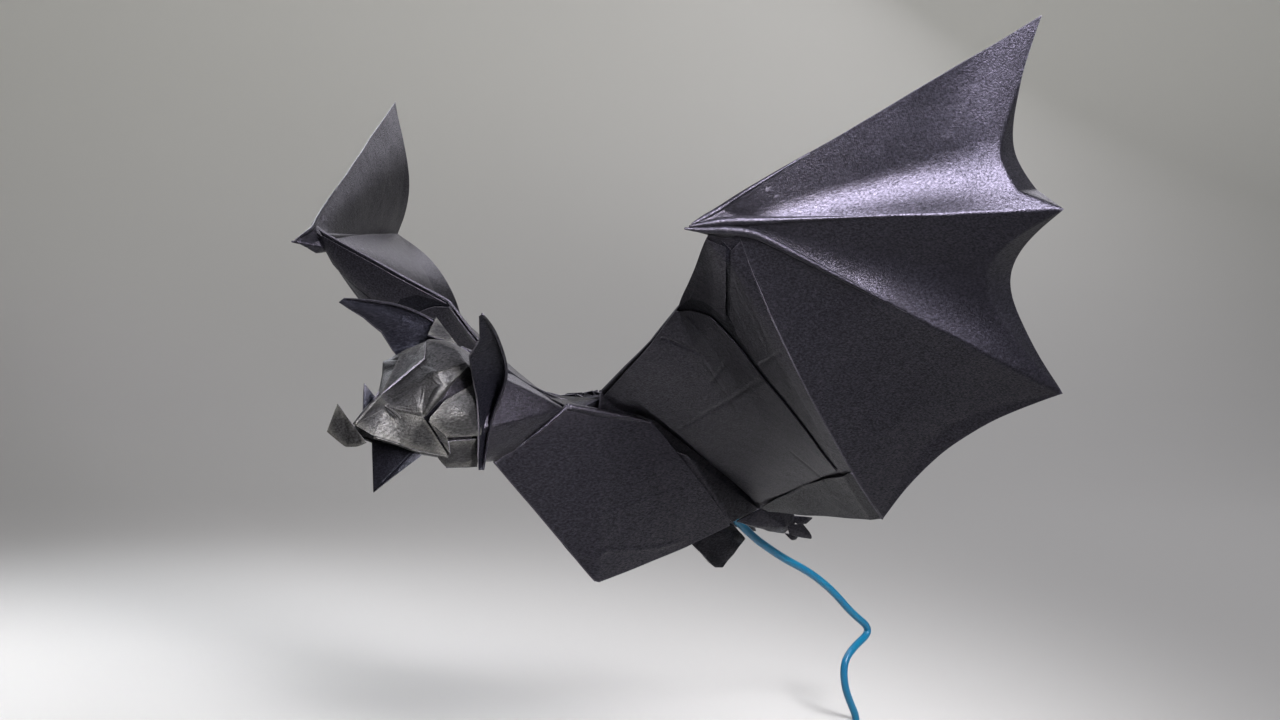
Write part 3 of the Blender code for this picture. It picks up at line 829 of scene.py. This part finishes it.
# NOSE LEAF, HORN AND JAW. Small single points of the sheet, which are drawn out
# of the layers of the snout, bent by hand and creased to hold.
NOSE_LEAF = {"a": (-3.0, -249.7, 143.2), "b": (-5, -252.1, 135.3), "c": (-1.5, -248.4, 130.9),
             "d": (1.5, -246.4, 131.0), "e": (3.4, -244.6, 132.2), "f": (1.6, -246.9, 136.2),
             "g": (-0.6, -248.6, 139.8)}
LOWER_JAW = {"a": (-5, -236.8, 131.4), "b": (5.4, -229.4, 129.6), "c": (6.4, -227.6, 127.4),
             "d": (3, -235.6, 121.4), "e": (0, -240.1, 117.6), "f": (-4.5, -229.5, 128.0)}
NOSE_HORN = {"a": (-4, -239.9, 148.4), "b": (-2, -236.0, 142.8), "c": (-1.5, -242.3, 138.6)}
SECOND_HORN_TIP = (1.2, -238.6, 146.2)
folded("nose_leaf", NOSE_LEAF, ("abcg", "gcdf", "fde"), 1, 0.4, 0.4, paper=rubbed_paper)
# The horns and the lower jaw use the painted-shade paper, whose near black stands in for the shadow under
# the snout.
folded("nose_horn", NOSE_HORN, ("abc",), 1, 0.3, 0.45, paper=painted_shade_paper)
folded("nose_horn_right", {**NOSE_HORN, "a": SECOND_HORN_TIP}, ("abc",), 1, 0.3, 0.4,
       paper=painted_shade_paper)
folded("lower_jaw", LOWER_JAW, ("abe", "bcde", "afe"), 1, 0.35, 0.5, paper=painted_shade_paper)


# TAIL AND FEET. The last layers are pressed flat: they grip the wire, a small fin
# hangs under the tail, and each leg ends in three bent toes.
GRIP = ((10.5, -84.5, 97), (8, -87, 92), (11, -98, 104), (8.5, -99, 93.5))
TAIL_FIN = ((-4, -99.5, 86.0), (-4, -84, 73.4), (-4, -79.6, 72.6), (-4, -65.9, 82.0), (-4, -74, 88.4),
            (-5.5, -84, 95), (-8, -97, 93), (-5.4, -87, 76))
LEG = ((14, -80.6, 96.6), (14, -70.2, 95.5), (13, -61.4, 94.0), (13, -58.3, 91.2), (11, -80.6, 90.0),
       (11, -71, 86.8), (11, -62.7, 84.7), (8, -80, 95), (9, -64, 92), (8, -88, 92), (14.5, -66, 88),
       (12.5, -57.5, 88.4))
TOES = (
    ((13, -64, 92), (13, -58.1, 91.4), (14, -47.7, 89.8), (13.5, -52.3, 87.6), (12, -57, 88.5),
     (13.5, -58, 88.2)),
    ((14, -65, 89), (13.5, -54, 88.0), (13.5, -50.1, 84.6), (13.5, -48.2, 82.1), (13, -48.8, 81.3),
     (12, -55.5, 83.0), (13, -62, 84.6), (10.5, -58, 87)),
    ((11, -62.5, 85), (11, -60.2, 83.6), (11, -57.8, 81.7), (11, -54.9, 81.7), (12, -54.7, 83.4),
     (9.5, -60, 85)),
)
pressed_block("tail_grip", both_sides(GRIP), 0.4, 3)
pressed_block("tail_fin", [spot(corner) for corner in TAIL_FIN], 0.3, 3)
for side, name in SIDES:
    pressed_block("leg_" + name, [spot(corner, side) for corner in LEG], 0.4, 3)
    for number, toe in enumerate(TOES):
        pressed_block("toe_%s_%d" % (name, number), [spot(corner, side) for corner in toe], 0.3, 2, 0.15)


# WIRE. A steel wire in a soft, glossy plastic coat, bent by hand. Its upper end
# is pushed in between the layers of the tail, and its lower end is cut straight.
WIRE_BENDS = (
    (0, 0), (0, 1.5), (-3.8, 7.5), (-7.4, 14), (-8.7, 20), (-8.2, 24.8), (-5.2, 28.1), (0.5, 31.0),
    (5.8, 32.8), (8.2, 34.9), (6.6, 37.8), (1.6, 41), (-5.3, 45.8), (-15.1, 54),
    (-23.2, 59.6), (-33, 65.4), (-48.3, 72.5), (-56.9, 77.2), (-65.3, 82), (-71.2, 86.3),
)
WIRE_AIM = (-0.80, 0.60)
WIRE_PLUG = 26
WIRE_RADIUS = 1.5
WIRE_CORNERS = 8
WIRE_STEPS = 6
COLOUR_DRIFT = 18
COAT_RIPPLE = 2
centre = [Vector((0, back, up)) for back, up in WIRE_BENDS]
centre.append(centre[-1] + Vector((0, *WIRE_AIM)).normalized() * WIRE_PLUG)
bm = tube(centre, [WIRE_RADIUS] * len(centre), WIRE_CORNERS, WIRE_STEPS)
bmesh.ops.scale(bm, vec=(MM, MM, MM), verts=bm.verts)
for face in bm.faces:
    face.smooth = len(face.verts) == 4
for edge in bm.edges:
    edge.smooth = all(face.smooth for face in edge.link_faces)
mesh = bpy.data.meshes.new("coated_wire")
bm.to_mesh(mesh)
bm.free()
wire = bpy.data.objects.new("coated_wire", mesh)
scene.collection.objects.link(wire)
# Extruded soft vinyl coat: deep blue, with a narrow gloss line that wavers a little.
paint, tree, shader = new_material("glossy_blue_plastic_coat")
place = node(tree, "TexCoord").outputs["Object"]
tone = node(tree, "TexNoise", Vector=place, Scale=1 / (COLOUR_DRIFT * MM))
colour = node(tree, "Mix", {"data_type": 'RGBA'}, i0=tone.outputs["Fac"], i6=linear("#00466a"),
              i7=linear("#08637c"))
tree.links.new(colour.outputs[2], shader.inputs["Base Color"])
waves = node(tree, "TexNoise", Vector=place, Scale=1 / (COAT_RIPPLE * MM))
ripple = node(tree, "Bump", Height=waves.outputs["Fac"], Strength=0.15, Distance=0.3 * MM)
tree.links.new(ripple.outputs[0], shader.inputs["Normal"])
shader.inputs["Roughness"].default_value = 0.32
shader.inputs["Specular IOR Level"].default_value = 0.35
mesh.materials.append(paint)
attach(wire, "root")
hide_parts("display_wire")
